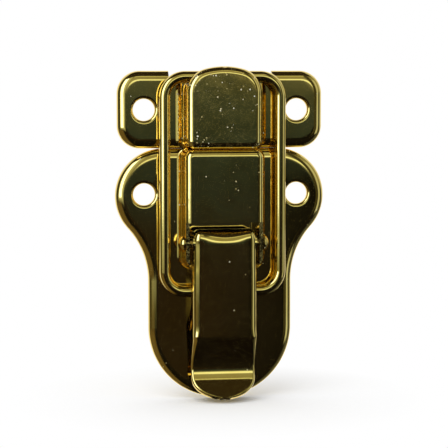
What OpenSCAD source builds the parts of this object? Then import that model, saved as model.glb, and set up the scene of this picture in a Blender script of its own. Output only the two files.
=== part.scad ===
// A draw latch for a chest: two dished plates, a hook, a lever in its housing, a wire loop and a pivot pin.
// X runs across the latch, Z runs up toward the keeper, and -Y points away from the chest.
// The origin lies midway between the two base screw holes, on the mounting plane.

/* [Sheet] */
// Thickness of the pressed sheet
sheet_t = 0.8; // [0.6:0.05:0.9]
// Height of both dished plates above the chest
plate_h = 1.8; // [1.7:0.1:2.2]
// Outer rounding of the plate rims
rim_r = 1.5; // [1.2:0.05:1.6]
// Width over the wings of the base plate
wing_w = 40; // [37:0.2:44]

/* [Screws] */
// Distance between the two screw holes of a plate
screw_span = 29.2; // [27:0.2:31]
// Diameter of the screw holes
screw_d = 4.1; // [3:0.1:4.6]

/* [Base] */
// Height of the base top edge above its screw line
base_top = 8.6; // [8:0.1:10]
// Length of the base plate
base_len = 47.8; // [46:0.1:54]
// Radius of the round wings
wing_r = 9; // [8.4:0.1:10]
// Width of the straight lower body
body_w = 27.5; // [25.5:0.1:29]
// Radius of the hollow waist between wing and body
waist_r = 15; // [12:0.5:17]

/* [Keeper] */
// Width of the keeper plate
keeper_w = 39.2; // [37:0.2:44]
// Height of the keeper plate
keeper_len = 14.6; // [13.8:0.1:15.4]
// Corner radius of the keeper plate
keeper_r = 4.3; // [3.2:0.1:5.4]
// Gap between the two plates when the chest is shut
seam_gap = 0.05; // [0.05:0.05:0.4]
// Width of the notch cut in the keeper top edge
notch_w = 19.8; // [18.4:0.1:20.6]
// Depth of the notch cut in the keeper top edge
notch_depth = 2.1; // [1.6:0.1:2.6]

/* [Hook] */
// Width of the hook
hook_w = 14.1; // [12.8:0.1:15]
// Height of the hook front above the chest
hook_h = 7.1; // [7:0.1:8]
// Corner radius of the hook lip
hook_corner_r = 4.4; // [2.5:0.1:5.5]
// Reach of the hook lip past the loop bar
hook_reach = 0.9; // [0.6:0.05:1.6]

/* [Housing] */
// Width over the housing and its cheeks
housing_w = 14.9; // [14.5:0.1:15.6]
// Height of the housing front above the chest
housing_h = 7.2; // [6.9:0.1:7.8]
// Length of the closed cover
cover_len = 13.7; // [12:0.1:14.4]
// Height of the sheared cheek fronts above the chest
cheek_h = 6.5; // [6.4:0.05:6.8]
// Reach of the cheeks below the pivot
cheek_drop = 4.4; // [3.6:0.1:5]
// Outer rounding of the housing and hook edges
edge_r = 1.3; // [1.1:0.05:1.5]
// Flare where the housing and hook walls rise from the plates
flare_r = 1.6; // [0.6:0.1:1.8]

/* [Lever] */
// Drop of the pivot below the base screw line
pivot_drop = 9.1; // [8.8:0.1:9.8]
// Height of the pivot above the chest
pivot_h = 5; // [4.9:0.05:5.2]
// Outer radius of the rolled lever top
roll_r = 2.7; // [2.4:0.05:2.8]
// Width of the lever below the cheeks
lever_w = 12.2; // [11.8:0.1:12.6]
// Width of the lever between the cheeks
neck_w = 12.1; // [10.6:0.1:12.2]
// Length of the flat front below the pivot
front_len = 17.3; // [15.5:0.1:18]
// Slope of the dip in degrees
dip_angle = 33; // [28:1:42]
// Straight length of the dip slope
dip_len = 4; // [1.6:0.1:4.4]
// Angle of the thumb lip in degrees
lip_angle = 35; // [25:1:42]
// Straight length of the thumb lip
lip_len = 3.5; // [1.8:0.1:4]
// Length of the rounded end of the thumb lip
lip_round = 3.7; // [2.5:0.1:4.5]
// Gap left under the lever flanks
flank_gap = 0.4; // [0.3:0.05:0.6]

/* [Loop] */
// Diameter of the loop wire
wire_d = 2.1; // [1.8:0.05:2.2]
// Width over the loop
loop_w = 24.1; // [23:0.1:25]
// Distance between the two cross bars of the loop
loop_len = 40.5; // [39.5:0.1:41]
// Outer corner radius of the loop
loop_corner_r = 4.9; // [4:0.1:5.4]
// Height of the loop above the chest when shut
loop_h = 4; // [3.8:0.05:4.1]
// Drop of the lower loop bar below the pivot
crank_len = 9.2; // [8.8:0.1:9.6]
// Gap left between the two wire ends inside the lever
wire_gap = 1.2; // [0.6:0.1:3]

/* [Pin] */
// Diameter of the pivot pin
pin_d = 2; // [1.6:0.05:2.2]
// Diameter of the formed pin heads
pin_head_d = 3.1; // [2.7:0.1:3.6]
// Thickness of the formed pin heads
pin_head_t = 0.75; // [0.5:0.05:0.95]

/* [Clearances] */
// Running clearance between pin and lever
pin_clear = 0.05; // [0.03:0.01:0.1]
// Running clearance between loop wire and lever
wire_clear = 0.08; // [0.04:0.01:0.1]
// Gap between the loop bar and the hook throat when shut
throat_gap = 0.3; // [0.3:0.02:0.5]
// Room above the loop bar as it swings out under the hook lip
swing_gap = 0.85; // [0.8:0.05:1]

/* [Hidden] */
$fn = 64;

rim_steps = 6;
arc_steps = 16;
fillet_steps = 5;
cut = 2;
wire_r = wire_d / 2;
pivot_z = -pivot_drop;
crank_z = pivot_z - crank_len;
hook_bar_z = crank_z + loop_len;
half_w = wing_w / 2;
keeper_half = keeper_w / 2;
body_half = body_w / 2;

keeper_low = base_top + seam_gap;
keeper_top = keeper_low + keeper_len;
keeper_screw_z = (keeper_low + keeper_top) / 2;
throat_z = hook_bar_z - wire_r - throat_gap;
notch_z = keeper_top - notch_depth;
lip_top_z = hook_bar_z + wire_r + hook_reach;
lip_edge_h = min(loop_h + wire_r + swing_gap, hook_h - sheet_t - 0.1);

wall_inset = 0.08;
corner_r = edge_r + 0.3;
cover_top_z = base_top - wall_inset;
cover_low_z = cover_top_z - cover_len;
cheek_low_z = pivot_z - cheek_drop;
window_low_z = cheek_low_z - flare_r;
ledge_h = plate_h + 0.5;
housing_half = housing_w / 2;
hook_half = hook_w / 2;
housing_foot_w = housing_w - 2 * corner_r;
hook_foot_w = hook_w - 2 * corner_r;

front_h = pivot_h + roll_r;
flank_h = plate_h + flank_gap;
lever_half = lever_w / 2;
neck_half = neck_w / 2;
neck_end_z = cheek_low_z + 0.2;
flank_end_z = crank_z - 3.2;
lever_edge_r = 1;
tip_edge_r = 0.45;
tip_edge_t = sheet_t + 0.2;
dip_out_r = 1.5;
dip_in_r = 4.2;
roll_end = 120;

gold = [0.83, 0.65, 0.27];

// Outline points as [x, z, inward x, inward z, flare weight]; side is 1 on a convex arc and -1 on a hollow one.
function arc(cx, cz, r, from, to, steps, side = 1, flare = [1, 1]) =
  [for (i = [0:steps])
    let (a = from + (to - from) * i / steps)
    [cx + r * cos(a), cz + r * sin(a), -side * cos(a), -side * sin(a),
     flare[0] + (flare[1] - flare[0]) * i / steps]];

// A right-hand half outline, top to bottom, closed by its mirror image.
function closed(half) =
  concat(half, [for (i = [len(half) - 1:-1:0])
    [-half[i][0], half[i][1], -half[i][2], half[i][3], half[i][4]]]);

function ring(outline, inset, h) =
  [for (p = outline)
    let (d = inset < 0 ? inset * p[4] : inset)
    [p[0] + d * p[2], -h, p[1] + d * p[3]]];

// Cap triangles across a ring whose first half runs down the right side.
function ladder(first, n, flip) =
  [for (i = [0:n / 2 - 2])
    let (a = first + i, b = first + i + 1, c = first + n - 2 - i, d = first + n - 1 - i)
    each flip ? [[a, b, c], [a, c, d]] : [[a, c, b], [a, d, c]]];

// A solid lofted through rings of one outline, with [inset, height] pairs from back to front.
module lofted(outline, profile) {
  n = len(outline);
  m = len(profile);
  points = [for (q = profile) each ring(outline, q[0], q[1])];
  sides = [for (j = [0:m - 2], i = [0:n - 1])
    let (a = j * n + i, b = j * n + (i + 1) % n, c = b + n, d = a + n)
    each [[a, b, c], [a, c, d]]];
  polyhedron(points = points,
    faces = concat(sides, ladder(0, n, false), ladder((m - 1) * n, n, true)));
}

function rounding(start, r, top) =
  [for (i = [0:rim_steps])
    let (a = 90 * i / rim_steps)
    [start + r * (1 - cos(a)), top - r + r * sin(a)]];

function dish_outside() = concat([[0, 0]], rounding(0, rim_r, plate_h));

function dish_inside() =
  concat([[sheet_t, -cut]], rounding(sheet_t, rim_r - sheet_t, plate_h - sheet_t));

// Wall of a pressed box, flared where it stands on the plate and rounded over at its front edge.
function box_outside(top) =
  concat([[0, 0], [0, plate_h - 0.4], [-0.95 * flare_r, plate_h - 0.05]],
    [for (i = [1:fillet_steps])
      let (a = 90 * i / fillet_steps)
      [flare_r * (sin(a) - 1), plate_h + flare_r * (1 - cos(a))]],
    rounding(0, edge_r, top));

function box_inside(top) =
  concat([[0, -cut]], rounding(0, edge_r - sheet_t, top - sheet_t));

module screw_holes(z) {
  for (side = [-1, 1])
    translate([side * screw_span / 2, cut, z])
      rotate([90, 0, 0])
        cylinder(d = screw_d, h = plate_h + 2 * cut);
}

// A block across the latch between two heights above the chest and two levels.
module block(width, h0, h1, z0, z1) {
  translate([-width / 2, -h1, z0])
    cube([width, h1 - h0, z1 - z0]);
}

// Clears the space of the plate on both sides of an end wall that reaches down to the chest.
module beside_foot(foot_w) {
  for (side = [-1, 1])
    translate([side * (foot_w + wing_w) / 2, 0, 0])
      block(wing_w, -cut, plate_h, -base_len, base_len);
}

wing_x = half_w - wing_r;
wing_z = base_top - wing_r;
waist_x = body_half + waist_r;
waist_z = wing_z - sqrt(pow(wing_r + waist_r, 2) - pow(waist_x - wing_x, 2));
waist_a = atan2(waist_z - wing_z, waist_x - wing_x);
tail_z = base_top - base_len + body_half;

base_outline = closed(concat(
  arc(wing_x, wing_z, wing_r, 90, waist_a, arc_steps),
  [for (i = [1:8]) arc(waist_x, waist_z, waist_r, waist_a + 180, 180, 8, -1)[i]],
  arc(0, tail_z, body_half, 0, -88, arc_steps)));

keeper_outline = closed(concat(
  arc(keeper_half - keeper_r, keeper_top - keeper_r, keeper_r, 90, 0, 8),
  arc(keeper_half - keeper_r, keeper_low + keeper_r, keeper_r, 0, -90, 8)));

// The housing stands at the base top edge, so its top wall carries no flare.
housing_outline = closed(concat(
  arc(housing_half - corner_r, cover_top_z - corner_r, corner_r, 90, 0, fillet_steps, 1, [0, 1]),
  arc(housing_half - corner_r, cheek_low_z + corner_r, corner_r, 0, -90, fillet_steps)));

housing_hollow = closed(concat(
  arc(housing_half - corner_r, cover_top_z - corner_r, corner_r - sheet_t, 90, 0, fillet_steps),
  arc(housing_half - corner_r, window_low_z + corner_r, corner_r - sheet_t, 0, -90, fillet_steps)));

// The hook stands at the keeper lower edge and arches over the loop bar.
hook_low_z = keeper_low + wall_inset;
hook_outline = closed(concat(
  arc(hook_half - hook_corner_r, lip_top_z - hook_corner_r, hook_corner_r, 90, 0, 8),
  arc(hook_half - corner_r, hook_low_z + corner_r, corner_r, 0, -90, fillet_steps, 1, [1, 0])));

hook_hollow = closed(concat(
  arc(hook_half - hook_corner_r, lip_top_z - hook_corner_r, hook_corner_r - sheet_t, 90, 0, 8),
  arc(hook_half - corner_r, hook_low_z + corner_r, corner_r - sheet_t, 0, -90, fillet_steps)));

module keeper_plate() {
  color(gold)
    difference() {
      lofted(keeper_outline, dish_outside());
      lofted(keeper_outline, dish_inside());
      block(notch_w, -cut, plate_h + cut, notch_z, keeper_top + cut);
      block(hook_foot_w, -cut, plate_h + cut, keeper_low - cut, hook_low_z + sheet_t);
      screw_holes(keeper_screw_z);
    }
}

module hook() {
  color(gold)
    difference() {
      lofted(hook_outline, box_outside(hook_h));
      lofted(hook_hollow, box_inside(hook_h));
      beside_foot(hook_foot_w);
      block(notch_w, -cut, lip_edge_h, throat_z, lip_top_z + cut);
    }
}

module base_plate() {
  color(gold)
    difference() {
      lofted(base_outline, dish_outside());
      lofted(base_outline, dish_inside());
      block(housing_foot_w, -cut, plate_h + cut, cover_top_z - sheet_t, base_top + cut);
      screw_holes(0);
    }
}

module lever_housing() {
  color(gold)
    difference() {
      lofted(housing_outline, box_outside(housing_h));
      lofted(housing_hollow, box_inside(housing_h));
      beside_foot(housing_foot_w);
      block(wing_w, -cut, plate_h, -base_len, cover_low_z);
      block(housing_w - 2 * sheet_t, ledge_h, housing_h + cut, cheek_low_z - cut, cover_low_z);
      block(wing_w, cheek_h, housing_h + cut, -base_len, cover_low_z);
      translate([-housing_w, -pivot_h, pivot_z])
        rotate([0, 90, 0])
          cylinder(d = pin_d, h = 2 * housing_w);
    }
}

// Stations along the lever, each [z, h, outward z, outward h], from the roll to the thumb lip.
dip_z = pivot_z - front_len;
dip_mid_z = dip_z - dip_out_r * sin(dip_angle) - dip_len * cos(dip_angle);
dip_mid_h = front_h - dip_out_r * (1 - cos(dip_angle)) - dip_len * sin(dip_angle);
dip_low_z = dip_mid_z - dip_in_r * sin(dip_angle);
dip_low_h = dip_mid_h - dip_in_r * (1 - cos(dip_angle));
lip_z = dip_low_z - dip_in_r * sin(lip_angle);
lip_h = dip_low_h + dip_in_r * (1 - cos(lip_angle));
tip_z = lip_z - lip_len * cos(lip_angle);

roll_path = [for (i = [0:8])
  let (a = roll_end * (1 - i / 8))
  [pivot_z + roll_r * sin(a), pivot_h + roll_r * cos(a), sin(a), cos(a)]];

front_path = [for (z = [pivot_z - 0.3, neck_end_z, neck_end_z - 1, flank_end_z, flank_end_z - 2.5])
  [z, front_h, 0, 1]];

dip_path = [for (i = [0:6])
  let (a = dip_angle * i / 6)
  [dip_z - dip_out_r * sin(a), front_h - dip_out_r * (1 - cos(a)), -sin(a), cos(a)]];

valley_path = [for (i = [0:14])
  let (a = dip_angle - (dip_angle + lip_angle) * i / 14)
  [dip_low_z + dip_in_r * sin(a), dip_low_h + dip_in_r * (1 - cos(a)), -sin(a), cos(a)]];

lip_path = [for (i = [1:6])
  let (s = lip_len * sin(15 * i))
  [lip_z - s * cos(lip_angle), lip_h + s * sin(lip_angle), sin(lip_angle), cos(lip_angle)]];

lever_path = concat(roll_path, front_path, dip_path, valley_path, lip_path);

function ramp(z, from, to) = max(0, min(1, (from - z) / (from - to)));

// Half width of the lever at a level, rounded off toward the tip of the lip.
function lever_half_at(z) =
  let (wide = neck_half + (lever_half - neck_half) * ramp(z, neck_end_z, neck_end_z - 1),
       u = ramp(z, tip_z + lip_round, tip_z))
  wide * sqrt(max(0.03, 1 - u * u));

function lever_edge_at(z) = lever_edge_r + (tip_edge_r - lever_edge_r) * ramp(z, dip_z - 2, dip_low_z);

function flank_at(z) =
  z > pivot_z - 0.2 ? lever_edge_r + 0.3 :
  front_h - flank_h + (tip_edge_t - front_h + flank_h) * ramp(z, flank_end_z, min(dip_z, flank_end_z - 1));

// Right half of the channel section at one station, as [x, depth] from front to flank and back inside.
function channel(z) =
  let (w = lever_half_at(z), r = lever_edge_at(z), q = max(flank_at(z), r + 0.1),
       ri = max(r - sheet_t, 0.1))
  concat(
    [for (i = [0:fillet_steps]) let (a = 90 * i / fillet_steps) [w - r + r * sin(a), r * (1 - cos(a))]],
    [[w, q], [w - sheet_t, q]],
    [for (i = [0:fillet_steps]) let (a = 90 * i / fillet_steps)
      [w - sheet_t - ri + ri * cos(a), sheet_t + ri * (1 - sin(a))]]);

function station(p) =
  let (half = channel(p[0]),
       loop = concat(half, [for (i = [len(half) - 1:-1:0]) [-half[i][0], half[i][1]]]))
  [for (s = loop) [s[0], -(p[1] - s[1] * p[3]), p[0] - s[1] * p[2]]];

module channel_body() {
  half = 2 * fillet_steps + 4;
  n = 2 * half;
  m = len(lever_path);
  points = [for (p = lever_path) each station(p)];
  sides = [for (j = [0:m - 2], i = [0:n - 1])
    let (a = j * n + i, b = j * n + (i + 1) % n, c = b + n, d = a + n)
    each [[a, b, c], [a, c, d]]];
  pairs = [for (i = [0:half / 2 - 2]) [i, i + 1, half - 2 - i, half - 1 - i]];
  strip = concat(pairs,
    [for (q = pairs) [n - 1 - q[1], n - 1 - q[0], n - 1 - q[3], n - 1 - q[2]]],
    [[n - 1, 0, half - 1, half]]);
  ends = [for (q = strip)
    each [[q[0], q[2], q[1]], [q[0], q[3], q[2]]]];
  last = (m - 1) * n;
  polyhedron(points = points,
    faces = concat(sides, ends, [for (f = ends) [last + f[0], last + f[2], last + f[1]]]));
}

module lever() {
  color(gold)
    difference() {
      union() {
        channel_body();
        for (side = [-1, 1])
          translate([side * (neck_half - sheet_t / 2) - sheet_t / 2, -pivot_h, pivot_z])
            rotate([0, 90, 0])
              cylinder(r = roll_r - sheet_t / 2, h = sheet_t);
      }
      translate([-lever_w, -pivot_h, pivot_z])
        rotate([0, 90, 0])
          cylinder(d = pin_d + 2 * pin_clear, h = 2 * lever_w);
      translate([-lever_w, -loop_h, crank_z])
        rotate([0, 90, 0])
          cylinder(d = wire_d + 2 * wire_clear, h = 2 * lever_w);
    }
}

bend_r = loop_corner_r - wire_r;
loop_half = loop_w / 2 - wire_r;

module wire_run(from, to) {
  v = to - from;
  translate(from)
    rotate([0, acos(v[2] / norm(v)), atan2(v[1], v[0])])
      cylinder(r = wire_r, h = norm(v));
}

module wire_bend(x, z, turn) {
  translate([x, 0, z])
    rotate([90, 0, 0])
      rotate([0, 0, turn])
        rotate_extrude(angle = 90)
          translate([bend_r, 0])
            circle(r = wire_r);
}

module wire_loop() {
  color(gold)
    translate([0, -loop_h, 0]) {
      wire_run([-loop_half + bend_r, 0, hook_bar_z], [loop_half - bend_r, 0, hook_bar_z]);
      for (side = [-1, 1]) {
        wire_run([side * loop_half, 0, crank_z + bend_r], [side * loop_half, 0, hook_bar_z - bend_r]);
        wire_run([side * wire_gap / 2, 0, crank_z], [side * (loop_half - bend_r), 0, crank_z]);
      }
      wire_bend(loop_half - bend_r, hook_bar_z - bend_r, 0);
      wire_bend(-loop_half + bend_r, hook_bar_z - bend_r, 90);
      wire_bend(-loop_half + bend_r, crank_z + bend_r, 180);
      wire_bend(loop_half - bend_r, crank_z + bend_r, 270);
    }
}

pin_dome_r = (pow(pin_head_d / 2, 2) + pow(pin_head_t, 2)) / (2 * pin_head_t);

module pin_head() {
  intersection() {
    translate([0, 0, pin_head_t - pin_dome_r])
      sphere(r = pin_dome_r);
    translate([-pin_head_d, -pin_head_d, 0])
      cube([2 * pin_head_d, 2 * pin_head_d, pin_head_t + 1]);
  }
}

module pivot_pin() {
  color(gold)
    translate([0, -pivot_h, pivot_z]) {
      rotate([0, 90, 0])
        translate([0, 0, -housing_half])
          cylinder(d = pin_d, h = housing_w);
      for (side = [-1, 1])
        translate([side * housing_half, 0, 0])
          rotate([0, side * 90, 0])
            pin_head();
    }
}

keeper_plate();
hook();
base_plate();
lever_housing();
lever();
wire_loop();
pivot_pin();
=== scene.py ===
# %% [markdown]
# A draw latch for a chest, dressed in Blender. The latch has two dished plates, a hook, a lever in its
# housing, a wire loop and a pivot pin, all of bright gold plating. The imported model is loaded first,
# because the pieces made here take their sizes and places from it.

# %% Load the imported model
from math import atan2, cos, degrees, radians, sin, sqrt, tau

import bmesh
import bpy
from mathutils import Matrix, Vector


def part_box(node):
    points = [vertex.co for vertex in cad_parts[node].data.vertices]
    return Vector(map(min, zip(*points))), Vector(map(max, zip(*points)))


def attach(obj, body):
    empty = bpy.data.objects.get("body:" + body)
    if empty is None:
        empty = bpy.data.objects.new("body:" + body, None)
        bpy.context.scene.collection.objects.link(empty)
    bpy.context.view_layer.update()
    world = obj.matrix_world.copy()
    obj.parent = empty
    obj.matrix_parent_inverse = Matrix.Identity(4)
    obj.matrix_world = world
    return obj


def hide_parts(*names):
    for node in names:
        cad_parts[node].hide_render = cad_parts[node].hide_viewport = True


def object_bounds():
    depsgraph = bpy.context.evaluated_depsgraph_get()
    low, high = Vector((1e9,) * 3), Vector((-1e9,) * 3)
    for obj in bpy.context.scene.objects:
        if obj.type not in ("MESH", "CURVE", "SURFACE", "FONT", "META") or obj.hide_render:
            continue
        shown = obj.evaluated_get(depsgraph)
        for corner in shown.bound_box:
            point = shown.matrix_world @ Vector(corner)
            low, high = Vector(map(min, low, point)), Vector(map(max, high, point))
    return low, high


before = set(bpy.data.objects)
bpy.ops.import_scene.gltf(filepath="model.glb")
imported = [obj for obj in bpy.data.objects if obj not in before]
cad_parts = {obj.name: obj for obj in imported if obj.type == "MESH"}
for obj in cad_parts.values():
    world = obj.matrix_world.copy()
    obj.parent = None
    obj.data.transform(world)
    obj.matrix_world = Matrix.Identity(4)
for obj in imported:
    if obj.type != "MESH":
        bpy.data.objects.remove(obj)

cad_low, cad_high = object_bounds()
scene = bpy.context.scene

# %% [markdown]
# Sizes are written in millimetres, as on a drawing, and turned into Blender's metres in one place. A
# point of the latch is given by x across, z up and h, its height in front of the chest. Blender's -Y axis
# points away from the chest, so h becomes -Y. The two plates stand a hair apart. Both are drawn nearly to
# the middle of that gap, because the white backdrop would shine through a wider one.

# %% Sizes that several pieces share
MM = 0.001
SHEET = 0.8
HOLE_X, HOLE_R = 14.6, 2.05
EDGE_R, CORNER_R = 1.3, 1.6
PIVOT_Z, PIVOT_H = -9.1, 5.0
CRANK_Z, LOOP_H, WIRE_R = -18.3, 4.0, 1.05
SEAM_HALF = 0.005


def spot(x, z, h):
    return Vector((x, -h, z)) * MM


def reach(node):
    low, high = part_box(node)
    return high.x / MM, low.z / MM, high.z / MM, -low.y / MM


keeper_half, keeper_low, keeper_top = reach("keeper_plate")[:3]
base_half, base_low, base_top, plate_h = reach("base_plate")
seam = (keeper_low + base_top) / 2
keeper_low, base_top = seam + SEAM_HALF, seam - SEAM_HALF
print("keeper from", round(keeper_low, 2), "to", round(keeper_top, 2), "mm")
print("base from", round(base_low, 2), "to", round(base_top, 2), "mm")
print("overall box in mm:", [round((b - a) / MM, 1) for a, b in zip(cad_low, cad_high)])

# %% [markdown]
# Every surface of the latch is electroplated, so one recipe of shader nodes serves all the pieces. The
# effects that the finishes share are node groups, each with named sockets, like small instruments that
# can be wired into any material with other settings. A few tiny helpers keep the wiring short: one adds a
# node, one starts a group, and the others add the nodes that come up again and again.

# %% Helpers for shader nodes
MIX_SHARE, MIX_FIRST, MIX_SECOND, MIX_RESULT = 0, 6, 7, 2


def add_node(tree, kind, inputs=None, **settings):
    node = tree.nodes.new(kind)
    for key, value in settings.items():
        setattr(node, key, value)
    for key, value in (inputs or {}).items():
        if isinstance(value, bpy.types.NodeSocket):
            tree.links.new(value, node.inputs[key])
        else:
            node.inputs[key].default_value = value
    return node


def new_group(name, inputs, outputs):
    tree = bpy.data.node_groups.new(name, "ShaderNodeTree")
    for label, kind, value in inputs:
        socket = tree.interface.new_socket(label, in_out="INPUT", socket_type=kind)
        socket.default_value = value
    for label, kind in outputs:
        tree.interface.new_socket(label, in_out="OUTPUT", socket_type=kind)
    return tree, tree.nodes.new("NodeGroupInput").outputs, tree.nodes.new("NodeGroupOutput")


def own_place(tree):
    return add_node(tree, "ShaderNodeTexCoord").outputs["Object"]


def calc(tree, operation, first, second=0.0):
    return add_node(tree, "ShaderNodeMath", {0: first, 1: second}, operation=operation).outputs[0]


def noise(tree, place, scale, detail, roughness=0.5, output="Fac"):
    values = {"Vector": place, "Scale": scale, "Detail": detail, "Roughness": roughness}
    return add_node(tree, "ShaderNodeTexNoise", values).outputs[output]


def span(tree, value, low, high, to_low=0.0, to_high=1.0, curve="LINEAR"):
    values = {"Value": value, "From Min": low, "From Max": high, "To Min": to_low, "To Max": to_high}
    return add_node(tree, "ShaderNodeMapRange", values, interpolation_type=curve).outputs[0]


def mix_colours(tree, share, first, second):
    values = {MIX_SHARE: share, MIX_FIRST: first, MIX_SECOND: second}
    return add_node(tree, "ShaderNodeMix", values, data_type="RGBA").outputs[MIX_RESULT]


print("node helpers ready")

# %% [markdown]
# Plating is never one even colour: it runs a little deeper where the bath left it thicker, and fingers
# leave soft smears that dull the mirror. This group mixes two golds by broad noise and gives a roughness
# that wanders.

# %% Group: plating tone
FLOAT, COLOR, VECTOR = "NodeSocketFloat", "NodeSocketColor", "NodeSocketVector"
SMEAR_SCALE, NOISE_LOW, NOISE_HIGH = 420.0, 0.35, 0.7
tone_tree, tone_in, tone_out = new_group(
    "plating_tone",
    [("Light gold", COLOR, (0.94, 0.72, 0.22, 1)), ("Deep gold", COLOR, (0.86, 0.62, 0.16, 1)),
     ("Cloud scale", FLOAT, 160.0), ("Least roughness", FLOAT, 0.03), ("Most roughness", FLOAT, 0.09)],
    [("Color", COLOR), ("Roughness", FLOAT)])
place = own_place(tone_tree)
cloud = noise(tone_tree, place, tone_in["Cloud scale"], detail=4.0)
smear = noise(tone_tree, place, SMEAR_SCALE, detail=6.0, roughness=0.7)
share = span(tone_tree, cloud, NOISE_LOW, NOISE_HIGH)
gold = mix_colours(tone_tree, share, tone_in["Light gold"], tone_in["Deep gold"])
dulled = span(tone_tree, smear, NOISE_LOW, NOISE_HIGH, tone_in["Least roughness"], tone_in["Most roughness"])
tone_tree.links.new(gold, tone_out.inputs["Color"])
tone_tree.links.new(dulled, tone_out.inputs["Roughness"])
print("group", tone_tree.name, "gives", [s.name for s in tone_out.inputs if s.name])

# %% [markdown]
# A mirror shows how flat its sheet is. Pressed sheet waves very slightly, and polishing leaves fine
# hairlines. Both are heights, so one group gives a Height that a Bump node turns into a bent reflection.

# %% Group: pressed surface
HAIR_SCALE = 5200.0
press_tree, press_in, press_out = new_group(
    "pressed_surface",
    [("Wave scale", FLOAT, 90.0), ("Wave height", FLOAT, 1.0), ("Hairline height", FLOAT, 0.06),
     ("Hairline stretch", VECTOR, (1.0, 1.0, 0.06))],
    [("Height", FLOAT)])
place = own_place(press_tree)
drawn = add_node(press_tree, "ShaderNodeVectorMath", {0: place, 1: press_in["Hairline stretch"]},
                 operation="MULTIPLY").outputs[0]
wave = noise(press_tree, place, press_in["Wave scale"], detail=1.0)
hair = noise(press_tree, drawn, HAIR_SCALE, detail=2.0)
wave_part = calc(press_tree, "MULTIPLY", wave, press_in["Wave height"])
hair_part = calc(press_tree, "MULTIPLY", hair, press_in["Hairline height"])
press_tree.links.new(calc(press_tree, "ADD", wave_part, hair_part), press_out.inputs["Height"])
print("group", press_tree.name, "gives", [s.name for s in press_out.inputs if s.name])

# %% [markdown]
# Bright metal shows every grain of dust and every touch. Voronoi cells give one grain each: only the
# small spot round a cell's centre counts, and a random number of the cell decides whether it holds a
# grain at all. Stirring the place by noise first makes the spots ragged, and a broad noise gathers the
# grains in patches. A fine noise adds a faint haze between them.

# %% Group: settled dust
STIR_SCALE, STIR = 5000.0, 0.0003
PATCH_SCALE, PATCH_LOW, PATCH_HIGH = 260.0, 0.42, 0.68
FILM_SCALE, FILM_LOW, FILM_HIGH = 1800.0, 0.5, 0.75
dust_tree, dust_in, dust_out = new_group(
    "settled_dust",
    [("Cells per metre", FLOAT, 2300.0), ("Grain size", FLOAT, 0.36), ("Share with dust", FLOAT, 0.12),
     ("Haze", FLOAT, 0.06)],
    [("Mask", FLOAT)])
place = own_place(dust_tree)
stir = noise(dust_tree, place, STIR_SCALE, detail=3.0, roughness=0.8, output="Color")
bent = add_node(dust_tree, "ShaderNodeVectorMath", {0: stir, 1: (STIR, STIR, STIR), 2: place},
                operation="MULTIPLY_ADD").outputs[0]
cells = add_node(dust_tree, "ShaderNodeTexVoronoi",
                 {"Vector": bent, "Scale": dust_in["Cells per metre"]}).outputs
draw = add_node(dust_tree, "ShaderNodeSeparateColor", {0: cells["Color"]}).outputs
size = calc(dust_tree, "MULTIPLY", draw["Green"], dust_in["Grain size"])
near = calc(dust_tree, "LESS_THAN", cells["Distance"], size)
patch = noise(dust_tree, place, PATCH_SCALE, detail=2.0)
gather = span(dust_tree, patch, PATCH_LOW, PATCH_HIGH, 0.0, dust_in["Share with dust"])
holds = calc(dust_tree, "LESS_THAN", draw["Red"], gather)
grain = calc(dust_tree, "MULTIPLY", near, holds)
dim = calc(dust_tree, "MULTIPLY", grain, draw["Blue"])
film = noise(dust_tree, place, FILM_SCALE, detail=5.0, roughness=0.75)
haze = span(dust_tree, film, FILM_LOW, FILM_HIGH, 0.0, dust_in["Haze"])
dust_tree.links.new(calc(dust_tree, "MAXIMUM", dim, haze), dust_out.inputs["Mask"])
print("group", dust_tree.name, "gives", [s.name for s in dust_out.inputs if s.name])

# %% [markdown]
# A finish is one material that wires the groups into a Principled shader. Metal is set by Metallic, and a
# grain of dust lowers it again, because dust is not metal. Each finish passes its own values to the
# groups. The cheeks' sheared edges are the odd one out: torn metal with flecks of gold, rough and without
# dust.

# %% Finishes
BUMP_DISTANCE, BUMP_STRENGTH = 0.0001, 0.5
DUST_COLOUR, DUST_METAL = (0.60, 0.57, 0.42, 1), 0.1


def plating(name, tone=None, surface=None, dust=None):
    mat = bpy.data.materials.new(name)
    mat.use_nodes = True
    tree = mat.node_tree
    shader = tree.nodes["Principled BSDF"]
    golds = add_node(tree, "ShaderNodeGroup", tone, node_tree=tone_tree).outputs
    heights = add_node(tree, "ShaderNodeGroup", surface, node_tree=press_tree).outputs
    mask = add_node(tree, "ShaderNodeGroup", dust, node_tree=dust_tree).outputs["Mask"]
    colour = mix_colours(tree, mask, golds["Color"], DUST_COLOUR)
    metal = span(tree, mask, 0.0, 1.0, 1.0, DUST_METAL)
    rough = calc(tree, "MAXIMUM", golds["Roughness"], mask)
    bump = add_node(tree, "ShaderNodeBump", {"Height": heights["Height"], "Distance": BUMP_DISTANCE,
                                             "Strength": BUMP_STRENGTH})
    tree.links.new(colour, shader.inputs["Base Color"])
    tree.links.new(metal, shader.inputs["Metallic"])
    tree.links.new(rough, shader.inputs["Roughness"])
    tree.links.new(bump.outputs[0], shader.inputs["Normal"])
    return mat


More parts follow.
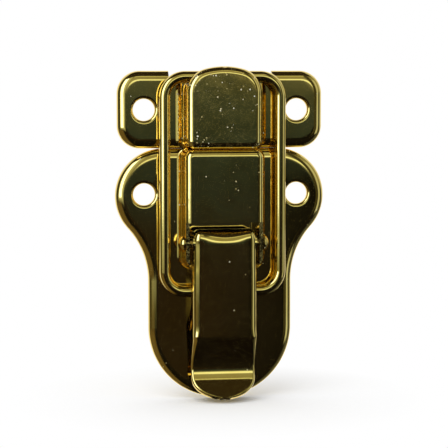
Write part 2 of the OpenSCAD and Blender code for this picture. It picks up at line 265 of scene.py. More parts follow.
DRAWN_SHEET = {"Wave scale": 300.0, "Wave height": 0.5, "Hairline height": 0.1,
               "Hairline stretch": (1.0, 1.0, 0.3)}
TORN_GOLD_AND_PAINTED_SHADE = {"Light gold": (0.85, 0.64, 0.22, 1), "Deep gold": (0.10, 0.07, 0.03, 1),
             "Cloud scale": 2600.0, "Least roughness": 0.15, "Most roughness": 0.4}
TORN_SHEET = {"Hairline height": 2.5, "Hairline stretch": (0.5, 0.5, 0.25)}
plate_finish = plating("plate_plating", dust={"Share with dust": 0.12, "Haze": 0.02})
cover_finish = plating("cover_plating", surface=DRAWN_SHEET, dust={"Share with dust": 0.07, "Haze": 0.03})
hook_finish = plating("hook_plating", surface=DRAWN_SHEET, dust={"Share with dust": 0.9, "Haze": 0.08})
lever_finish = plating("lever_plating", dust={"Share with dust": 0.01, "Haze": 0.03})
wire_finish = plating("wire_plating", surface={"Hairline stretch": (1.0, 1.0, 1.0)},
                      dust={"Share with dust": 0.0, "Haze": 0.02})
rivet_finish = plating("rivet_plating", tone={"Light gold": (0.90, 0.66, 0.20, 1)},
                       surface={"Wave scale": 600.0})
# Its near-black gold also serves as painted shade on the pivot pin's shank.
torn_edge_and_painted_shade_finish = plating("painted_shade_and_sheared_edge", TORN_GOLD_AND_PAINTED_SHADE, TORN_SHEET, {"Share with dust": 0.0, "Haze": 0.0})
print("finishes:", [m.name for m in bpy.data.materials if m.name.endswith(("plating", "edge"))])

# %% [markdown]
# Pressed pieces are drawn as outlines seen from the front. Each outline point carries the direction that
# leads inwards, so the same outline can be drawn again further in or further out: that is how a press
# rounds a rim. An arc is the only curve needed, because a drawing of such a pressing is made of arcs and
# straight lines. The last value of a point is its share in a flare: with 0 the outline doesn't spread
# there.

# %% Outlines
ROUND_STEPS = 14
QUARTER_TURN = [radians(9 * i) for i in range(11)]


def arc(cx, cz, r, start, end, steps, side=1, flare=(1, 1)):
    rows = []
    for i in range(steps + 1):
        t = i / steps
        a = radians(start + (end - start) * t)
        rows.append((cx + r * cos(a), cz + r * sin(a), -side * cos(a), -side * sin(a),
                     flare[0] + (flare[1] - flare[0]) * t))
    return rows


def both_sides(half):
    return half + [(-x, z, -nx, nz, flare) for x, z, nx, nz, flare in reversed(half)]


def quarter(start, width, top, height, steps=ROUND_STEPS):
    rows = []
    for i in range(steps + 1):
        a = radians(90 * i / steps)
        rows.append((start + width * (1 - cos(a)), top - height + height * sin(a)))
    return rows


KEEPER_R, KEEPER_STEPS = 4.3, 20
keeper_x = keeper_half - KEEPER_R
keeper_edge = both_sides(arc(keeper_x, keeper_top - KEEPER_R, KEEPER_R, 90, 0, KEEPER_STEPS)
                         + arc(keeper_x, keeper_low + KEEPER_R, KEEPER_R, 0, -90, KEEPER_STEPS))
print("keeper outline has", len(keeper_edge), "points")

# %% [markdown]
# A solid is lofted through rings of one outline: each ring has an inset and a height. The two ends are
# filled with triangles. Blocks and turned shapes are lofts too, through rectangles and through circles
# along an axis.

# %% Lofts
LATHE_STEPS = 48


def from_rings(bm, rings, name, finish):
    n = len(rings[0])
    for low, high in zip(rings, rings[1:]):
        for i in range(n):
            bm.faces.new((low[i], low[(i + 1) % n], high[(i + 1) % n], high[i]))
    for ring in (rings[0], rings[-1]):
        rim = [bm.edges.get((ring[i], ring[(i + 1) % n])) for i in range(n)]
        bmesh.ops.triangle_fill(bm, use_beauty=True, edges=rim)
    bmesh.ops.recalc_face_normals(bm, faces=bm.faces)
    mesh = bpy.data.meshes.new(name)
    bm.to_mesh(mesh)
    bm.free()
    piece = bpy.data.objects.new(name, mesh)
    scene.collection.objects.link(piece)
    mesh.materials.append(finish)
    return piece


def loft(name, outline, profile, finish):
    bm = bmesh.new()
    rings = []
    for inset, h in profile:
        ring = []
        for x, z, nx, nz, flare in outline:
            d = inset * flare if inset < 0 else inset
            ring.append(bm.verts.new(spot(x + d * nx, z + d * nz, h)))
        rings.append(ring)
    return from_rings(bm, rings, name, finish)


def block(x0, x1, h0, h1, z0, z1):
    bm = bmesh.new()
    corners = ((x0, z0), (x1, z0), (x1, z1), (x0, z1))
    rings = [[bm.verts.new(spot(x, z, h)) for x, z in corners] for h in (h0, h1)]
    return from_rings(bm, rings, "cutter", torn_edge_and_painted_shade_finish)


def lathe(origin, axis, profile, finish, name="cutter", steps=LATHE_STEPS):
    bm = bmesh.new()
    axis = Vector(axis)
    side = axis.orthogonal().normalized()
    other = axis.cross(side)
    rings = []
    for r, along in profile:
        ring = []
        for i in range(steps):
            a = tau * i / steps
            out = side * (r * cos(a)) + other * (r * sin(a))
            ring.append(bm.verts.new(origin + (axis * along + out) * MM))
        rings.append(ring)
    return from_rings(bm, rings, name, finish)


print("lofts ready")

# %% [markdown]
# Cuts are made as the press makes them, by taking one solid out of another with a Boolean modifier, which
# also paints the cut faces in the finish of the cutter. A finished piece is shaded smooth except at its
# sharp edges, with normals that lean toward the large faces, and is then handed over to the body that it
# rides on.

# %% Cuts and finishing
SHARP_ANGLE, LARGE_FACE_WEIGHT = 32, 80


def settle(piece):
    graph = bpy.context.evaluated_depsgraph_get()
    mesh = bpy.data.meshes.new_from_object(piece.evaluated_get(graph))
    piece.modifiers.clear()
    old, piece.data = piece.data, mesh
    mesh.name = piece.name
    bpy.data.meshes.remove(old)


def change(piece, operation, *others):
    for other in others:
        tool = piece.modifiers.new(operation.lower(), "BOOLEAN")
        tool.operation, tool.object, tool.solver, tool.material_mode = operation, other, "EXACT", "TRANSFER"
    settle(piece)
    for other in others:
        bpy.data.objects.remove(other)


def smooth(piece):
    piece.data.shade_smooth()
    piece.data.set_sharp_from_angle(angle=radians(SHARP_ANGLE))
    weigh = piece.modifiers.new("weighted", "WEIGHTED_NORMAL")
    weigh.keep_sharp, weigh.weight, weigh.mode = True, LARGE_FACE_WEIGHT, "FACE_AREA"
    settle(piece)


def hand_over(piece, body, node):
    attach(piece, body)
    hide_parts(node)
    print(piece.name, "has", len(piece.data.polygons), "faces and rides on", body)


print("cuts and finishing ready")

# %% [markdown]
# The plates are shallow pans: the press turns the rim down, so that only the rim's edge meets the chest.
# Outside and inside are two lofts of the same outline, one sheet thickness apart. The screw holes are
# punched from the front, which rolls their front edge over. Cutters start behind the chest's face and run
# past the front.

# %% Pans and screw holes
RIM_H, RIM_W, HOLE_ROLL = 1.5, 1.9, 0.65
BEHIND, PAST, OVER_PLATE = -2, 2, 4


def pan(name, outline):
    outside = [(0, 0)] + quarter(0, RIM_W, plate_h, RIM_H)
    inside = [(SHEET, BEHIND)] + quarter(SHEET, RIM_W - SHEET, plate_h - SHEET, RIM_H - SHEET)
    plate = loft(name, outline, outside, plate_finish)
    change(plate, "DIFFERENCE", loft("hollow", outline, inside, plate_finish))
    return plate


def screw_hole(x, z):
    profile = [(HOLE_R, BEHIND)]
    for a in QUARTER_TURN:
        profile.append((HOLE_R + HOLE_ROLL * (1 - cos(a)), plate_h - HOLE_ROLL + HOLE_ROLL * sin(a)))
    profile.append((HOLE_R + HOLE_ROLL, plate_h + PAST))
    return lathe(spot(x, z, 0), (0, -1, 0), profile, plate_finish)


print("pans are", round(plate_h, 2), "mm high")

# %% [markdown]
# The keeper plate is a rounded rectangle. A notch in its upper edge lets the loop swing through, and a
# slot in its lower edge takes the tongue on which the hook stands. The walls of hook and housing stay a
# hair inside the plates' edges, so that no two faces lie in one plane.

# %% Keeper plate
NOTCH_HALF, NOTCH_DEPTH = 9.9, 2.1
HOOK_FOOT, WALL_INSET = 5.45, 0.004
keeper_z = (keeper_low + keeper_top) / 2
hook_low = keeper_low + WALL_INSET
keeper = pan("keeper_plate_dressed", keeper_edge)
change(keeper, "DIFFERENCE", screw_hole(-HOLE_X, keeper_z), screw_hole(HOLE_X, keeper_z),
       block(-NOTCH_HALF, NOTCH_HALF, BEHIND, OVER_PLATE, keeper_top - NOTCH_DEPTH, keeper_top + PAST),
       block(-HOOK_FOOT, HOOK_FOOT, BEHIND, OVER_PLATE, keeper_low - PAST, hook_low + SHEET))
smooth(keeper)
hand_over(keeper, "plates", "keeper_plate")

# %% [markdown]
# The base plate swells into two round wings for the screws, narrows in a hollow waist and ends in a half
# round. Each half of its outline is three arcs that run into each other, so the rim can follow it without
# a kink. The housing's tongue has its slot in the upper edge.

# %% Base plate
WING_R, WAIST_R, BODY_HALF, HOUSING_FOOT = 9.0, 15.0, 13.75, 5.85
WING_STEPS, WAIST_STEPS, TAIL_STEPS, TAIL_TURN = 40, 24, 40, -89
tail_z, cover_top = base_low + BODY_HALF, base_top - WALL_INSET
wing_x, wing_z = base_half - WING_R, base_top - WING_R
waist_x = BODY_HALF + WAIST_R
waist_z = wing_z - sqrt((WING_R + WAIST_R) ** 2 - (waist_x - wing_x) ** 2)
to_waist = Vector((waist_x - wing_x, waist_z - wing_z))
waist_turn = -degrees(abs(to_waist.angle_signed(Vector((1, 0)))))
base_edge = both_sides(arc(wing_x, wing_z, WING_R, 90, waist_turn, WING_STEPS)
                       + arc(waist_x, waist_z, WAIST_R, waist_turn + 180, 180, WAIST_STEPS, -1)[1:]
                       + arc(0, tail_z, BODY_HALF, 0, TAIL_TURN, TAIL_STEPS))
base = pan("base_plate_dressed", base_edge)
change(base, "DIFFERENCE", screw_hole(-HOLE_X, 0), screw_hole(HOLE_X, 0),
       block(-HOUSING_FOOT, HOUSING_FOOT, BEHIND, OVER_PLATE, cover_top - SHEET, base_top + PAST))
smooth(base)
hand_over(base, "plates", "base_plate")

# %% [markdown]
# The hook and the housing are deep drawn boxes. Their walls flare out where they stand on the plate and
# turn over at the front in a tight round. Only a tongue of each box goes down into its plate: what lies
# beside the tongue and below the plate's face is cut away.

# %% Drawn boxes
FOOT_SUNK, FOOT_SHARE, FOOT_THICK = 0.4, 0.95, 0.05
INSIDE_STEPS, CORNER_STEPS = 8, 12
BESIDE, BEYOND = 30, 40


def box_outside(top, flare):
    sunk = [(0, 0), (0, plate_h - FOOT_SUNK), (-FOOT_SHARE * flare, plate_h - FOOT_THICK)]
    foot = [(flare * (sin(a) - 1), plate_h + flare * (1 - cos(a))) for a in QUARTER_TURN[1:]]
    return sunk + foot + quarter(0, EDGE_R, top, EDGE_R)


def box_inside(top):
    return [(0, BEHIND)] + quarter(0, EDGE_R - SHEET, top - SHEET, EDGE_R - SHEET, INSIDE_STEPS)


def beside_foot(half):
    return [block(-BESIDE, -half, BEHIND, plate_h, -BEYOND, BEYOND),
            block(half, BESIDE, BEHIND, plate_h, -BEYOND, BEYOND)]


print("box walls turn over in a round of", EDGE_R, "mm")

# %% [markdown]
# The hook's upper edge is slightly arched and runs into its sides in two wide rounds. The wall below that
# edge is cut away behind the lip, so the loop's bar can pass behind it.

# %% Hook
HOOK_HALF, HOOK_ROUND, DOME_R, HOOK_FLARE = 7.05, 4.6, 14.0, 1.8
DOME_STEPS, SHOULDER_STEPS = 8, 24
THROAT_Z, THROAT_TOP, THROAT_HALF, LIP_EDGE_H = 20.85, 27, 10, 5.9
lip_top, hook_h = reach("hook")[2:]
hook_x, hook_corner, dome_z = HOOK_HALF - HOOK_ROUND, HOOK_HALF - CORNER_R, lip_top - DOME_R
round_up = sqrt((DOME_R - HOOK_ROUND) ** 2 - hook_x ** 2)
dome_end = degrees(atan2(round_up, hook_x))


def hook_outline(inset, foot):
    crown = arc(0, dome_z, DOME_R - inset, 90, dome_end, DOME_STEPS)
    shoulder = arc(hook_x, dome_z + round_up, HOOK_ROUND - inset, dome_end, 0, SHOULDER_STEPS)
    corner = arc(hook_corner, hook_low + CORNER_R, CORNER_R - inset, 0, -90, CORNER_STEPS, 1, foot)
    return both_sides(crown + shoulder[1:] + corner)


hook = loft("hook_dressed", hook_outline(0, (1, 0)), box_outside(hook_h, HOOK_FLARE), hook_finish)
change(hook, "DIFFERENCE", loft("hollow", hook_outline(SHEET, (1, 1)), box_inside(hook_h), hook_finish),
       *beside_foot(HOOK_FOOT), block(-THROAT_HALF, THROAT_HALF, BEHIND, LIP_EDGE_H, THROAT_Z, THROAT_TOP))
smooth(hook)
hand_over(hook, "plates", "hook")

# %% [markdown]
# The housing covers the lever's roll and carries the pin in two cheeks. Its front is sheared open below the
# cover, which leaves a rough, torn edge along both cheeks.

# %% Lever housing
HOUSING_HALF, HOUSING_FLARE, PIN_R = 7.45, 1.1, 1.0
COVER_LEN, CHEEK_H, CHEEK_LOW, LEDGE = 13.7, 6.5, -13.5, 0.5
IN_FRONT, UNDER_CHEEK, BORE_REACH = 12, 3, 12
housing_h, cover_low = reach("lever_housing")[3], cover_top - COVER_LEN
house_x, house_top = HOUSING_HALF - CORNER_R, cover_top - CORNER_R
house_low, hollow_low = CHEEK_LOW + CORNER_R, CHEEK_LOW - HOUSING_FLARE + CORNER_R
open_half, open_low = HOUSING_HALF - SHEET, CHEEK_LOW - UNDER_CHEEK
housing_edge = both_sides(arc(house_x, house_top, CORNER_R, 90, 0, CORNER_STEPS, 1, (0, 1))
                          + arc(house_x, house_low, CORNER_R, 0, -90, CORNER_STEPS))
housing_hollow = both_sides(arc(house_x, house_top, CORNER_R - SHEET, 90, 0, CORNER_STEPS)
                            + arc(house_x, hollow_low, CORNER_R - SHEET, 0, -90, CORNER_STEPS))


def bore(z, h, r):
    return lathe(spot(0, z, h), (1, 0, 0), [(r, -BORE_REACH), (r, BORE_REACH)], torn_edge_and_painted_shade_finish)


housing = loft("lever_housing_dressed", housing_edge, box_outside(housing_h, HOUSING_FLARE), cover_finish)
change(housing, "DIFFERENCE", loft("hollow", housing_hollow, box_inside(housing_h), cover_finish),
       *beside_foot(HOUSING_FOOT), block(-BESIDE, BESIDE, BEHIND, plate_h, -BEYOND, cover_low),
       block(-open_half, open_half, plate_h + LEDGE, IN_FRONT, open_low, cover_low),
       block(-BESIDE, BESIDE, CHEEK_H, IN_FRONT, open_low, cover_low), bore(PIVOT_Z, PIVOT_H, PIN_R))
smooth(housing)
hand_over(housing, "plates", "lever_housing")

# %% [markdown]
# The lever is a channel bent from one strip. Its shape is easiest to give as a path seen from the side,
# with a channel section at each station: the roll round the pin, the flat front, the dip, and the lip for
# the thumb. A station has its z and h, and the direction in which the strip's front faces there.

# %% Lever path
ROLL_R, ROLL_TURN, FRONT_H = 2.7, 120, 7.7
DIP_Z, DIP_TURN, DIP_OUT, DIP_RUN, DIP_IN = -26.4, 33, 1.5, 4.0, 4.2
LIP_TURN, LIP_RUN, LIP_ROUND = 35, 3.5, 3.7
ROLL_STEPS, FRONT_STEPS, DIP_STEPS, VALLEY_STEPS, LIP_STEPS = 24, 25, 16, 36, 14
dip, lip = radians(DIP_TURN), radians(LIP_TURN)
valley_z = DIP_Z - DIP_OUT * sin(dip) - DIP_RUN * cos(dip) - DIP_IN * sin(dip)
valley_h = FRONT_H - DIP_OUT * (1 - cos(dip)) - DIP_RUN * sin(dip) - DIP_IN * (1 - cos(dip))
lip_z, lip_h = valley_z - DIP_IN * sin(lip), valley_h + DIP_IN * (1 - cos(lip))
tip_z = lip_z - LIP_RUN * cos(lip)

path = []
for i in range(ROLL_STEPS + 1):
    a = radians(ROLL_TURN * (1 - i / ROLL_STEPS))
    path.append((PIVOT_Z + ROLL_R * sin(a), PIVOT_H + ROLL_R * cos(a), sin(a), cos(a)))
for i in range(1, FRONT_STEPS):
    path.append((PIVOT_Z + (DIP_Z - PIVOT_Z) * i / FRONT_STEPS, FRONT_H, 0, 1))
for i in range(DIP_STEPS + 1):
    a = dip * i / DIP_STEPS
    path.append((DIP_Z - DIP_OUT * sin(a), FRONT_H - DIP_OUT * (1 - cos(a)), -sin(a), cos(a)))
for i in range(VALLEY_STEPS + 1):
    a = dip - (dip + lip) * i / VALLEY_STEPS
    path.append((valley_z + DIP_IN * sin(a), valley_h + DIP_IN * (1 - cos(a)), -sin(a), cos(a)))
for i in range(1, LIP_STEPS + 1):
    s = LIP_RUN * sin(radians(90 * i / LIP_STEPS))
    path.append((lip_z - s * cos(lip), lip_h + s * sin(lip), sin(lip), cos(lip)))
print("lever path has", len(path), "stations, the tip at z =", round(tip_z, 2))

# %% [markdown]
# At each station the section has the strip's front, two rounded edges, two flanks and the hollow inside.
# The roll swells a little toward its two ends, and the flanks lean in. They run out above the dip,
# because the strip bends too sharply there for deep flanks. At the tip the strip narrows to a half round.

# %% Lever section
LEVER_HALF, NECK_HALF, NECK_END, NECK_RUN = 6.1, 6.05, -13.3, 1
FLANK_END, FLANK_DEPTH, STRIP_DEPTH, FLANK_LEAN, LEAN_RUN = -21.5, 5.5, 1.0, -0.6, 2
BEND_EDGE, TIP_EDGE, EDGE_ABOVE, EDGE_BELOW, LEAST_STEP = 1.45, 0.5, 1.2, 3, 0.1
ROLL_BULGE, ROLL_END, LEAST_TIP, ACROSS = 0.5, 0.2, 0.03, 14


def ramp(z, start, end):
    return max(0.0, min(1.0, (start - z) / (start - end)))


def section(z, h, nz, nh):
    wide = NECK_HALF + (LEVER_HALF - NECK_HALF) * ramp(z, NECK_END, NECK_END - NECK_RUN)
    u = ramp(z, tip_z + LIP_ROUND, tip_z)
    w = wide * sqrt(max(LEAST_TIP, 1 - u * u))
    r = BEND_EDGE + (TIP_EDGE - BEND_EDGE) * ramp(z, DIP_Z + EDGE_ABOVE, DIP_Z - EDGE_BELOW)
    if z > PIVOT_Z - ROLL_END:
        depth = BEND_EDGE + LEAST_STEP
    else:
        depth = FLANK_DEPTH + (STRIP_DEPTH - FLANK_DEPTH) * ramp(z, FLANK_END, DIP_Z)
    depth = max(depth, r + LEAST_STEP)
    inner = max(r - SHEET, LEAST_STEP)
    bulge = ROLL_BULGE * (2 * nz * nh) ** 2 if z > PIVOT_Z and nh > 0 else 0
    lean = FLANK_LEAN * ramp(z, NECK_END - NECK_RUN, NECK_END - NECK_RUN - LEAN_RUN)
    foot = w + lean * (depth - r) / FLANK_DEPTH
    half = [(w - r + r * sin(a), r - (r + bulge) * cos(a)) for a in QUARTER_TURN]
    half += [(foot, depth), (foot - SHEET, depth)]
    half += [(w - SHEET - inner + inner * cos(a), SHEET + inner * (1 - sin(a))) for a in QUARTER_TURN]
    whole = half + [(-x, d) for x, d in reversed(half)]
    shares = [2 * i / ACROSS - 1 for i in range(1, ACROSS)]
    whole += [((w - r) * t, -bulge * t * t) for t in shares]
    return [spot(x, z - d * nz, h - d * nh) for x, d in whole]


bm = bmesh.new()
stations = [[bm.verts.new(p) for p in section(*row)] for row in path]
lever = from_rings(bm, stations, "lever_dressed", lever_finish)
print("lever section has", len(stations[0]), "points")

# %% [markdown]
# Two round ears close the roll's ends and carry the pin. The bores for pin and wire are a little wider than
# what turns in them.

# %% Lever
PIN_PLAY, WIRE_PLAY = 0.05, 0.08
ear_profile = [(ROLL_R - SHEET / 2, -SHEET / 2), (ROLL_R - SHEET / 2, SHEET / 2)]
ears = []
for side in (-1, 1):
    middle = spot(side * (NECK_HALF - SHEET / 2), PIVOT_Z, PIVOT_H)
    ears.append(lathe(middle, (1, 0, 0), ear_profile, lever_finish, "ear"))
change(lever, "UNION", *ears)
change(lever, "DIFFERENCE", bore(PIVOT_Z, PIVOT_H, PIN_R + PIN_PLAY),
       bore(CRANK_Z, LOOP_H, WIRE_R + WIRE_PLAY))
smooth(lever)
hand_over(lever, "lever", "lever")

# %% [markdown]
# The loop is one length of round wire, bent four times, with its two ends sprung into the lever's flanks.
# The wire's line is worked out first; a ring of points is then carried along it, so the bends stay truly
# round.

# %% Wire loop
LOOP_HALF, BAR_Z, BEND_R, WIRE_GAP = 11.0, 22.2, 3.85, 1.2
BEND_STEPS, WIRE_SIDES = 20, 32
bend_x, bend_low, bend_top = LOOP_HALF - BEND_R, CRANK_Z + BEND_R, BAR_Z - BEND_R
line = [(WIRE_GAP / 2, CRANK_Z, 1, 0), (bend_x, CRANK_Z, 1, 0)]
for cx, cz, start in ((bend_x, bend_low, -90), (bend_x, bend_top, 0), (-bend_x, bend_top, 90),
                      (-bend_x, bend_low, 180)):
    for i in range(BEND_STEPS + 1):
        a = radians(start + 90 * i / BEND_STEPS)
        line.append((cx + BEND_R * cos(a), cz + BEND_R * sin(a), -sin(a), cos(a)))
line.append((-WIRE_GAP / 2, CRANK_Z, 1, 0))
round_turn = [tau * i / WIRE_SIDES for i in range(WIRE_SIDES)]
round_wire = [(WIRE_R * cos(a), WIRE_R * sin(a)) for a in round_turn]
bm = bmesh.new()
hoops = []
for x, z, tx, tz in line:
    hoops.append([bm.verts.new(spot(x + out * tz, z - out * tx, LOOP_H + up)) for out, up in round_wire])
wire = from_rings(bm, hoops, "wire_loop_dressed", wire_finish)
smooth(wire)
hand_over(wire, "loop", "wire_loop")

# %% [markdown]
# The pivot is a rivet: a plain shank whose ends are hammered into domes outside the cheeks.
# The shank between the cheeks takes the dark torn-edge finish: painted shade for the gap beside the roll.

# %% Pivot pin
HEAD_R, HEAD_T, HEAD_TIP, PIN_STEPS = 1.6, 1.2, 0.05, 40
dome = [(HEAD_R * cos(a), HEAD_T * sin(a)) for a in QUARTER_TURN[:-1]] + [(HEAD_TIP, HEAD_T)]
profile = [(r, -HOUSING_HALF - t) for r, t in reversed(dome)]
profile += [(PIN_R, -HOUSING_HALF), (PIN_R, HOUSING_HALF)]
profile += [(r, HOUSING_HALF + t) for r, t in dome]
pin = lathe(spot(0, PIVOT_Z, PIVOT_H), (1, 0, 0), profile, rivet_finish, "pivot_pin_dressed", PIN_STEPS)
# The shank between the cheeks gets the dark torn finish: painted shade in the gap beside the roll.
pin.data.materials.append(torn_edge_and_painted_shade_finish)
for face in pin.data.polygons:
    face.material_index = int(abs(face.center.x) < (HOUSING_HALF - SHEET) * MM)
smooth(pin)
hand_over(pin, "plates", "pivot_pin")

# %% [markdown]
# The latch stands on a pale floor in front of a white backdrop. The floor takes the latch's shadow, and
# fades to white further out, so that no edge of the floor shows. The metal doesn't mirror the floor,
# because a tent of cloth, made further on, stands for everything in front of it.

# %% Floor
FLOOR_R, FLOOR_SIDES, FLOOR_DROP = 1.2, 96, 0.0002
FLOOR_COLOUR, FLOOR_ROUGH = (0.9, 0.9, 0.9, 1), 0.9
FADE_FROM, FADE_TO = 0.004, 0.04
bm = bmesh.new()
bmesh.ops.create_circle(bm, cap_ends=True, segments=FLOOR_SIDES, radius=FLOOR_R)
floor_mesh = bpy.data.meshes.new("floor")
bm.to_mesh(floor_mesh)
bm.free()
floor = bpy.data.objects.new("floor", floor_mesh)
floor.location.z = cad_low[2] - FLOOR_DROP
floor.visible_glossy = False
scene.collection.objects.link(floor)
pale = bpy.data.materials.new("pale_floor")
pale.use_nodes = True
tree = pale.node_tree
shader = tree.nodes["Principled BSDF"]
shader.inputs["Base Color"].default_value = FLOOR_COLOUR
shader.inputs["Roughness"].default_value = FLOOR_ROUGH
distance = add_node(tree, "ShaderNodeVectorMath", {0: own_place(tree)}, operation="LENGTH").outputs["Value"]
white = add_node(tree, "ShaderNodeEmission").outputs[0]
seen = add_node(tree, "ShaderNodeLightPath").outputs["Is Camera Ray"]
part = calc(tree, "MULTIPLY", span(tree, distance, FADE_FROM, FADE_TO), seen)
blend = add_node(tree, "ShaderNodeMixShader", {0: part, 1: shader.outputs[0], 2: white})
tree.links.new(blend.outputs[0], tree.nodes["Material Output"].inputs["Surface"])
floor_mesh.materials.append(pale)
print("floor at z =", round(floor.location.z / MM, 2), "mm")

# %% [markdown]
# The world is the white backdrop. The camera and the metal see it as plain white, and it lights the latch
# with a softer strength, so that nothing washes out.

# %% White backdrop
BACKDROP, LIT_BY_BACKDROP = 1.0, 0.75
world = bpy.data.worlds.new("white_backdrop")
scene.world = world
world.use_nodes = True
tree = world.node_tree
dimmed = tree.nodes["Background"]
dimmed.inputs["Color"].default_value = (1, 1, 1, 1)
dimmed.inputs["Strength"].default_value = LIT_BY_BACKDROP
bright = add_node(tree, "ShaderNodeBackground", {"Color": (1, 1, 1, 1), "Strength": BACKDROP})
rays = add_node(tree, "ShaderNodeLightPath").outputs
mirrored = calc(tree, "MAXIMUM", rays["Is Camera Ray"], rays["Is Glossy Ray"])
any_ray = calc(tree, "MAXIMUM", mirrored, rays["Is Transmission Ray"])
blend = add_node(tree, "ShaderNodeMixShader", {0: any_ray, 1: dimmed.outputs[0], 2: bright.outputs[0]})
tree.links.new(blend.outputs[0], tree.nodes["World Output"].inputs["Surface"])
print("backdrop of strength", BACKDROP, "lights with", LIT_BY_BACKDROP)

# %% [markdown]
# Polished metal has hardly any look of its own: it shows what stands around it. So a photographer puts it
# in a tent of cloth and lights panels of the cloth. Here the tent is the front part of a large ball round
# the latch. Its cloth glows by direction: turn is the angle from straight ahead, rise is the angle above
# the latch. This group tells how much a direction belongs to one panel with soft edges.

# %% Group: soft panel
panel_tree, panel_in, panel_out = new_group(
    "soft_panel",
    [("Turn", FLOAT, 0.0), ("Rise", FLOAT, 0.0), ("Turn from", FLOAT, -10.0), ("Turn to", FLOAT, 10.0),
     ("Rise from", FLOAT, -10.0), ("Rise to", FLOAT, 10.0), ("Softness", FLOAT, 4.0)],
    [("Mask", FLOAT)])
borders = []
for angle in ("Turn", "Rise"):
    for border, before in ((" from", 0.0), (" to", 1.0)):
        edge = panel_in[angle + border]
        first = calc(panel_tree, "SUBTRACT", edge, panel_in["Softness"])
        last = calc(panel_tree, "ADD", edge, panel_in["Softness"])
        borders.append(span(panel_tree, panel_in[angle], first, last, before, 1.0 - before, "SMOOTHSTEP"))
across = calc(panel_tree, "MULTIPLY", borders[0], borders[1])
upward = calc(panel_tree, "MULTIPLY", borders[2], borders[3])
panel_tree.links.new(calc(panel_tree, "MULTIPLY", across, upward), panel_out.inputs["Mask"])
print("group", panel_tree.name, "gives", [s.name for s in panel_out.inputs if s.name])

# %% [markdown]
# The cloth is dim above the latch and nearly black overhead and below, which is what gives flat gold its
# deep olive tone. First the direction of a spot of cloth is turned into the two angles, and a colour ramp
# gives the tone for each rise.

# %% Tent cloth
RISE_TONES = [(-90, 0.004, 0.003, 0.003), (-12, 0.010, 0.009, 0.009), (-8, 0.015, 0.013, 0.013),
              (-6, 0.020, 0.020, 0.020), (-3.8, 0.022, 0.031, 0.040), (-1.7, 0.030, 0.044, 0.053),
              (1, 0.048, 0.063, 0.064), (7, 0.24, 0.26, 0.22), (14, 0.32, 0.33, 0.25), (43, 0.28, 0.28, 0.18),
              (52, 0.030, 0.024, 0.016), (90, 0.02, 0.015, 0.01)]
tent_cloth = bpy.data.materials.new("tent_cloth")
tent_cloth.use_nodes = True
tree = tent_cloth.node_tree
tree.nodes.remove(tree.nodes["Principled BSDF"])
way = add_node(tree, "ShaderNodeVectorMath", {0: own_place(tree)}, operation="NORMALIZE").outputs[0]
axes = add_node(tree, "ShaderNodeSeparateXYZ", {0: way}).outputs
rise = calc(tree, "DEGREES", calc(tree, "ARCSINE", axes["Z"]))
turn = calc(tree, "DEGREES", calc(tree, "ARCTAN2", axes["X"], calc(tree, "MULTIPLY", axes["Y"], -1.0)))
ramp_node = add_node(tree, "ShaderNodeValToRGB", {0: span(tree, rise, -90.0, 90.0)})
stops = ramp_node.color_ramp.elements
for angle, *tone in RISE_TONES[1:-1]:
    stops.new((angle + 90) / 180)
for stop, (angle, *tone) in zip(stops, RISE_TONES):
    stop.color = (*tone, 1)
print("cloth has", len(stops), "tones from floor to top")

# %% [markdown]
# Each panel is laid over the cloth in turn, with its range of turn and rise in degrees, its softness and
# its glow. One tall bright panel at the left draws the thin bright lines along the rounded edges. The
# tent is open at the back, so the metal shows the white backdrop there.

# %% Light tent
TENT_R, TENT_TURN, TENT_SEGMENTS, TENT_ROWS = 0.5, 118, 72, 36
PANELS = [
    ("brown cloth low at the left", -150, -40, -70, -9, 8, (0.13, 0.10, 0.05)),
    ("grey cloth low at the right", 70, 150, -60, -8, 8, (0.08, 0.09, 0.10)),
    ("dark fold at the left", -108, -68, -10, 50, 4, (0.05, 0.05, 0.025)),
    ("pale cloth far left", -190, -112, -14, 60, 5, (0.52, 0.56, 0.60)),
    ("dark fold at the right", 26, 48, -14, 50, 4, (0.05, 0.05, 0.03)),
    ("pale cloth far right", 98, 190, -8, 60, 6, (0.62, 0.68, 0.76)),
    ("dark cloth low, right of the middle", 12, 26, -18, -2, 1.5, (0.007, 0.007, 0.007)),
    ("brown cloth low, left of the middle", -12, 8.5, -18, -7, 1.5, (0.019, 0.0145, 0.012)),
    ("pale cloth above, right of the middle", 10, 26, 2, 8, 1.5, (0.17, 0.18, 0.15)),
    ("narrow light panel at the right", 52, 72, -20, 34, 3, (0.55, 0.62, 0.66)),
    ("lower light strip", -6, 26, 7, 17, 3, (1.1, 1.25, 1.2)),
    ("upper light strip", -12, 30, 42, 47, 2, (0.7, 0.75, 0.6)),
    ("shoulder of the tall panel", -72, -20, -8, 48, 4, (0.50, 0.56, 0.50)),
    ("tall light panel", -64, -36, -4.5, 47, 2, (2.4, 2.8, 4.0)),
]
glow = ramp_node.outputs[0]
for label, turn_from, turn_to, rise_from, rise_to, softness, colour in PANELS:
    values = {"Turn": turn, "Rise": rise, "Turn from": turn_from, "Turn to": turn_to, "Rise from": rise_from,
              "Rise to": rise_to, "Softness": softness}
    panel = add_node(tree, "ShaderNodeGroup", values, node_tree=panel_tree, label=label)
    glow = mix_colours(tree, panel.outputs["Mask"], glow, (*colour, 1))
light = add_node(tree, "ShaderNodeEmission", {"Color": glow})
tree.links.new(light.outputs[0], tree.nodes["Material Output"].inputs["Surface"])
tent_cloth.cycles.emission_sampling = "NONE"

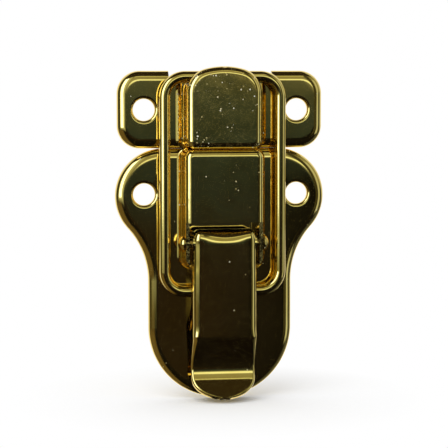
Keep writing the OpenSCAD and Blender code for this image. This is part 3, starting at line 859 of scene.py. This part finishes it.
bm = bmesh.new()
bmesh.ops.create_uvsphere(bm, u_segments=TENT_SEGMENTS, v_segments=TENT_ROWS, radius=TENT_R)
open_back = [f for f in bm.faces if f.calc_center_median().y > -TENT_R * cos(radians(TENT_TURN))]
bmesh.ops.delete(bm, geom=open_back, context="FACES")
tent_mesh = bpy.data.meshes.new("light_tent")
bm.to_mesh(tent_mesh)
bm.free()
tent_mesh.materials.append(tent_cloth)
tent = bpy.data.objects.new("light_tent", tent_mesh)
scene.collection.objects.link(tent)
tent.visible_camera = tent.visible_diffuse = tent.visible_shadow = False
tent.visible_transmission = tent.visible_volume_scatter = False
print("tent of", len(tent_mesh.polygons), "faces with", len(PANELS), "panels")

# %% [markdown]
# One large soft lamp from the upper left gives the floor its shadow and lights the dust. It is hidden from
# reflections, because the tent already stands for everything that the metal sees.

# %% Lamp
LAMP_SIZE, LAMP_POWER, LAMP_PLACE = 0.8, 5.0, (-0.35, -0.55, 0.6)
lamp_data = bpy.data.lights.new("soft_lamp", "AREA")
lamp_data.shape, lamp_data.size, lamp_data.energy = "DISK", LAMP_SIZE, LAMP_POWER
lamp = bpy.data.objects.new("soft_lamp", lamp_data)
lamp.location = LAMP_PLACE
lamp.rotation_euler = (-lamp.location).to_track_quat("-Z", "Y").to_euler()
lamp.visible_glossy = False
scene.collection.objects.link(lamp)
print("lamp", round(lamp.location.length, 2), "m away")

# %% [markdown]
# The camera stands a little to the left and a little above, with a long lens, as the latch was
# photographed. The field at the plates is the picture's width times the millimetres of one pixel.

# %% Camera
CAM_TURN, CAM_RISE, CAM_FAR = -9.0, 5.0, 0.36
FIELD, SENSOR, CLIP_START = 0.0851, 36, 0.01
AIM_X, AIM_Z, AIM_H = 0.6, -5.76, 1.8
aim = spot(AIM_X, AIM_Z, AIM_H)
az, el = radians(CAM_TURN), radians(CAM_RISE)
lens = bpy.data.cameras.new("camera")
lens.sensor_width = lens.sensor_height = SENSOR
lens.lens = SENSOR * CAM_FAR / FIELD
lens.clip_start = CLIP_START
camera = bpy.data.objects.new("camera", lens)
camera.location = aim + Vector((sin(az) * cos(el), -cos(az) * cos(el), sin(el))) * CAM_FAR
camera.rotation_euler = (aim - camera.location).to_track_quat("-Z", "Y").to_euler()
scene.collection.objects.link(camera)
scene.camera = camera
scene.view_settings.view_transform = "Standard"
print("lens", round(lens.lens, 1), "mm")
